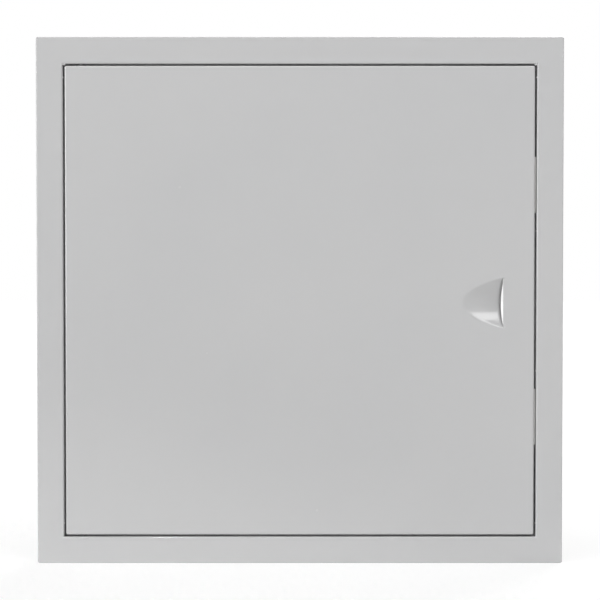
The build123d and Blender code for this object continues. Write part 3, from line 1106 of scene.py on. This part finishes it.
RIVET_STEPS = 32
RIVET_RADIUS = 1.25 * MM
RIVET_DOME = 0.75 * MM
MANDREL = 0.7 * MM
MANDREL_PIT = 0.4 * MM
rivet_low, rivet_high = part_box("lower_magnet_bottom_rivet")
RIVET_HEAD = (rivet_high.z - rivet_low.z) / 2
housing_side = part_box("lower_magnet_housing")[0].x
inner_rim = rivet_low.x + RIVET_DOME
inner_head = [(radius, inner_rim - rise) for radius, rise in dome(RIVET_HEAD, 0.0, RIVET_DOME)]
outer_head = dome(RIVET_HEAD, rivet_high.x - RIVET_DOME, RIVET_DOME, inner=MANDREL)
pit = rivet_high.x - MANDREL_PIT
rivet_outline = inner_head[::-1] + [(RIVET_HEAD, housing_side), (RIVET_RADIUS, housing_side),
                                    (RIVET_RADIUS, NECK_HALF), (RIVET_HEAD, NECK_HALF)]
rivet_outline += outer_head + [(MANDREL, pit), (0, pit)]
first = middle_of("lower_magnet_bottom_rivet")
catch_rivets = run_tree("catch_rivets", outline_mesh("rivet_outline", rivet_outline), rivet_tree, {
    "Steps": RIVET_STEPS, "Start": (0.0, first.y, first.z),
    "Rivet Spacing": middle_of("lower_magnet_top_rivet").z - first.z,
    "Catch Spacing": middle_of("upper_magnet_bottom_rivet").z - first.z, "Material": zinc})
print("open edges in the rivets:", turn_outwards(catch_rivets))
shade(catch_rivets)
report(catch_rivets)

# %% [markdown]
# ## Housings, poles and magnets
# These are moulded and stamped blocks. A truly sharp edge never catches the light, so each block gets
# rounded edges. The housing is hollowed for its magnet and has three shallow grooves on its free side.

# %% Rounded blocks
def rounded_block(name, low, high, radius, material):
    work = bmesh.new()
    add_box(work, low, high)
    bmesh.ops.bevel(work, geom=work.edges[:], offset=radius, segments=3, profile=0.5, affect="EDGES")
    mesh = bpy.data.meshes.new(name)
    work.to_mesh(mesh)
    work.free()
    mesh.materials.append(material)
    return new_piece(name, mesh)


# %% Catches from their blocks
POLE_EDGE = 0.25 * MM
MAGNET_EDGE = 0.4 * MM
HOUSING_EDGE = 0.6 * MM
POCKET_ROOM = 0.1 * MM
GROOVE = 1.2 * MM
GROOVE_DEPTH = 0.35 * MM
GROOVE_PITCH = 4.0 * MM


def make_housing(side):
    """The moulded housing of one catch, hollowed around its pole plates."""
    low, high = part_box(f"{side}_magnet_housing")
    housing = rounded_block(f"{side}_catch_moulding", low, high, HOUSING_EDGE, housing_plastic)
    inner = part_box(f"{side}_magnet_inner_pole")[0]
    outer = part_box(f"{side}_magnet_outer_pole")[1]
    room = Vector((POCKET_ROOM, 0, POCKET_ROOM))
    work = bmesh.new()
    add_box(work, inner - room, outer + room)
    middle = (low + high) / 2
    for k in (-1, 0, 1):
        height = middle.z + k * GROOVE_PITCH
        add_box(work, (low.x - GROOVE, low.y + 2 * GROOVE, height - GROOVE / 2),
                (low.x + GROOVE_DEPTH, high.y - 2 * GROOVE, height + GROOVE / 2))
    cut(housing, work)
    shade(housing, BLOCK_SHADING)
    return housing


catch_blocks = {}
for side in ("upper", "lower"):
    catch_blocks[f"{side}_magnet_housing"] = (make_housing(side), "catch_plastic")
    for part, radius, material, slot in (("inner_pole", POLE_EDGE, ground_steel, "pole_steel"),
                                         ("outer_pole", POLE_EDGE, ground_steel, "pole_steel"),
                                         ("block", MAGNET_EDGE, ferrite, "ferrite")):
        node = f"{side}_magnet_{part}"
        low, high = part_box(node)
        block = rounded_block(f"{side}_catch_{part}", low, high, radius, material)
        shade(block, BLOCK_SHADING)
        catch_blocks[node] = (block, slot)
for block, slot in catch_blocks.values():
    report(block, f"in slot {slot}")

# %% [markdown]
# ## Riding on the bodies
# Every piece says which body carries it and which CAD nodes it stands for. The door's pieces then swing
# with the door when the hinge moves.

# %% Bodies and replaced nodes
def dress(piece, body, slot, *nodes):
    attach(piece, body)
    if nodes:
        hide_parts(*nodes)


RAILS = ["frame_top_rail", "frame_bottom_rail", "frame_hinge_stile", "frame_latch_stile"]
RIVETS = [f"{side}_magnet_{end}_rivet" for side in ("upper", "lower") for end in ("top", "bottom")]
dress(frame_skin, "frame", "paint", *RAILS)
dress(weld_beads, "frame", "paint")
dress(neck_nibs, "frame", "paint")
dress(hinge_pins, "frame", "pin_steel", "upper_hinge_pin", "lower_hinge_pin")
dress(catch_rivets, "frame", "pin_steel", *RIVETS)
for node, (block, slot) in catch_blocks.items():
    dress(block, "frame", slot, node)
dress(pan, "door", "paint", "door_leaf")
dress(hinge_bushes, "door", "bush_plastic", "upper_hinge_bush", "lower_hinge_bush")
print("dressed pieces:", 6 + len(catch_blocks))

# %% [markdown]
# ## Floor and white surroundings
# The panel stands on a white floor in front of a white background. Rays from the camera, and mirror
# rays, see plain white, while the light that falls on the panel comes from the lamps and from a dimmer,
# even world. Close to the panel the floor shows a share of its real shading, so that it keeps the
# panel's shadow.

# %% World
WORLD_LIGHT = 0.125


def seen_ray(tree):
    """1 for rays that show the surroundings: camera, mirror and glass rays."""
    path = add_node(tree, "ShaderNodeLightPath").outputs
    mirror = calculate(tree, "MAXIMUM", path["Is Glossy Ray"], path["Is Transmission Ray"])
    return calculate(tree, "MAXIMUM", path["Is Camera Ray"], mirror)


world = bpy.data.worlds.new("white_studio")
bpy.context.scene.world = world
world.use_nodes = True
tree = world.node_tree
tree.nodes.clear()
seen = add_node(tree, "ShaderNodeBackground", {"Color": (1, 1, 1, 1), "Strength": 1.0})
light = add_node(tree, "ShaderNodeBackground", {"Color": (1, 1, 1, 1), "Strength": WORLD_LIGHT})
either = add_node(tree, "ShaderNodeMixShader")
feed(tree, either.inputs[0], seen_ray(tree))
feed(tree, either.inputs[1], light.outputs[0])
feed(tree, either.inputs[2], seen.outputs[0])
add_node(tree, "ShaderNodeOutputWorld", {"Surface": either.outputs[0]})
print("world light", WORLD_LIGHT)

# %% Floor
FLOOR_HALF = 6.0
FLOOR_WHITE = (0.88, 0.88, 0.88, 1.0)
FLOOR_GLOW = 1.06
SHADOW_SHARE = 0.30
SHADOW_REACH = (0.15, 0.60)
floor_mesh = mesh_of("floor", [(x * FLOOR_HALF, y * FLOOR_HALF, low_corner.z)
                               for x, y in SQUARE], faces=[(0, 1, 2, 3)])
floor = new_piece("floor", floor_mesh)
floor_white = bpy.data.materials.new("floor_white")
floor_white.use_nodes = True
tree = floor_white.node_tree
tree.nodes.clear()
matt = add_node(tree, "ShaderNodeBsdfDiffuse", {"Color": FLOOR_WHITE})
glow = add_node(tree, "ShaderNodeEmission", {"Color": (1, 1, 1, 1), "Strength": FLOOR_GLOW})
away = add_node(tree, "ShaderNodeVectorMath", operation="LENGTH")
feed(tree, away.inputs[0], add_node(tree, "ShaderNodeTexCoord").outputs["Object"])
shadow = add_node(tree, "ShaderNodeMapRange", {
    "Value": away.outputs["Value"], "From Min": SHADOW_REACH[0], "From Max": SHADOW_REACH[1],
    "To Min": SHADOW_SHARE, "To Max": 0.0})
whiteness = calculate(tree, "SUBTRACT", 1.0, shadow.outputs["Result"])
either = add_node(tree, "ShaderNodeMixShader")
feed(tree, either.inputs[0], calculate(tree, "MULTIPLY", seen_ray(tree), whiteness))
feed(tree, either.inputs[1], matt.outputs[0])
feed(tree, either.inputs[2], glow.outputs[0])
add_node(tree, "ShaderNodeOutputMaterial", {"Surface": either.outputs[0]})
floor_mesh.materials.append(floor_white)
print("floor at height", floor_mesh.vertices[0].co.z)

# %% [markdown]
# ## Studio light
# The light is made of soft boxes, area lamps that are aimed at the panel. A large one at the front left
# gives most of the light. The key box, high at the right, ends with a sharp line in the lower half of
# the scoop, where its reflection is seen. Two strips, overhead and far to the left, rake along the
# front and draw bright lines on the folds that face them. A narrow strip brightens the foot of the
# panel, as a white table would, and a box behind the panel serves the views from the back.

# %% Lamps
FOOT_SPREAD = math.radians(5.7)


def softbox(name, place, target, width, height, power, spread=math.pi):
    lamp = bpy.data.lights.new(name, "AREA")
    lamp.shape = "RECTANGLE"
    lamp.size = width
    lamp.size_y = height
    lamp.spread = spread
    lamp.energy = power
    holder = bpy.data.objects.new(name, lamp)
    bpy.context.scene.collection.objects.link(holder)
    holder.location = place
    holder.rotation_euler = (Vector(target) - Vector(place)).to_track_quat("-Z", "Y").to_euler()


panel_middle = (0.0, FRONT, CENTRE)
softbox("key_softbox", (1.183, -1.889, 1.596), (0.115, FRONT, 0.161), 1.06, 0.92, 19.5)
softbox("top_strip", (0.0, -0.5, 2.2), panel_middle, 1.4, 0.5, 14.5)
softbox("left_softbox", (-2.64, -2.28, 0.43), panel_middle, 2.4, 2.72, 83.0)
softbox("left_strip", (-2.4, -0.45, 0.4), panel_middle, 0.5, 1.6, 18.0)
softbox("foot_strip", (-1.6, -1.9, 0.9), (-0.05, FRONT, -0.04), 0.6, 0.05, 0.05, FOOT_SPREAD)
softbox("back_softbox", (0.9, 1.9, 1.7), panel_middle, 1.4, 1.4, 40.0)
print("lamps:", [lamp.name for lamp in bpy.data.lights])

# %% [markdown]
# ## Camera
# The photograph looks almost straight at the panel, from a little above its middle. The field of view
# follows from the panel's width and the share of the picture that it fills.

# %% Camera
IMAGE_PIXELS = 600
PANEL_PIXELS = 526.5
VIEW_DISTANCE = 1.0
VIEW_LIFT = math.radians(1.5)
VIEW_CENTRE = (0.1 * MM, FRONT, CENTRE + 0.7 * MM)
view = Vector((0.0, -math.cos(VIEW_LIFT), math.sin(VIEW_LIFT)))
camera_data = bpy.data.cameras.new("camera")
camera_data.sensor_fit = "HORIZONTAL"
camera_data.angle = 2 * math.atan(OVERALL * IMAGE_PIXELS / PANEL_PIXELS / 2 / VIEW_DISTANCE)
camera = bpy.data.objects.new("camera", camera_data)
bpy.context.scene.collection.objects.link(camera)
camera.location = Vector(VIEW_CENTRE) + VIEW_DISTANCE * view
camera.rotation_euler = (-view).to_track_quat("-Z", "Y").to_euler()
bpy.context.scene.camera = camera
bpy.context.scene.view_settings.view_transform = "Standard"
print("field of view", math.degrees(camera_data.angle))

# %% [markdown]
# ## The imported box
# The dressed model is meant to keep the imported model's box, so that box is printed once more.

# %% Print the imported box
print("CAD box", [tuple(corner) for corner in cad_box])
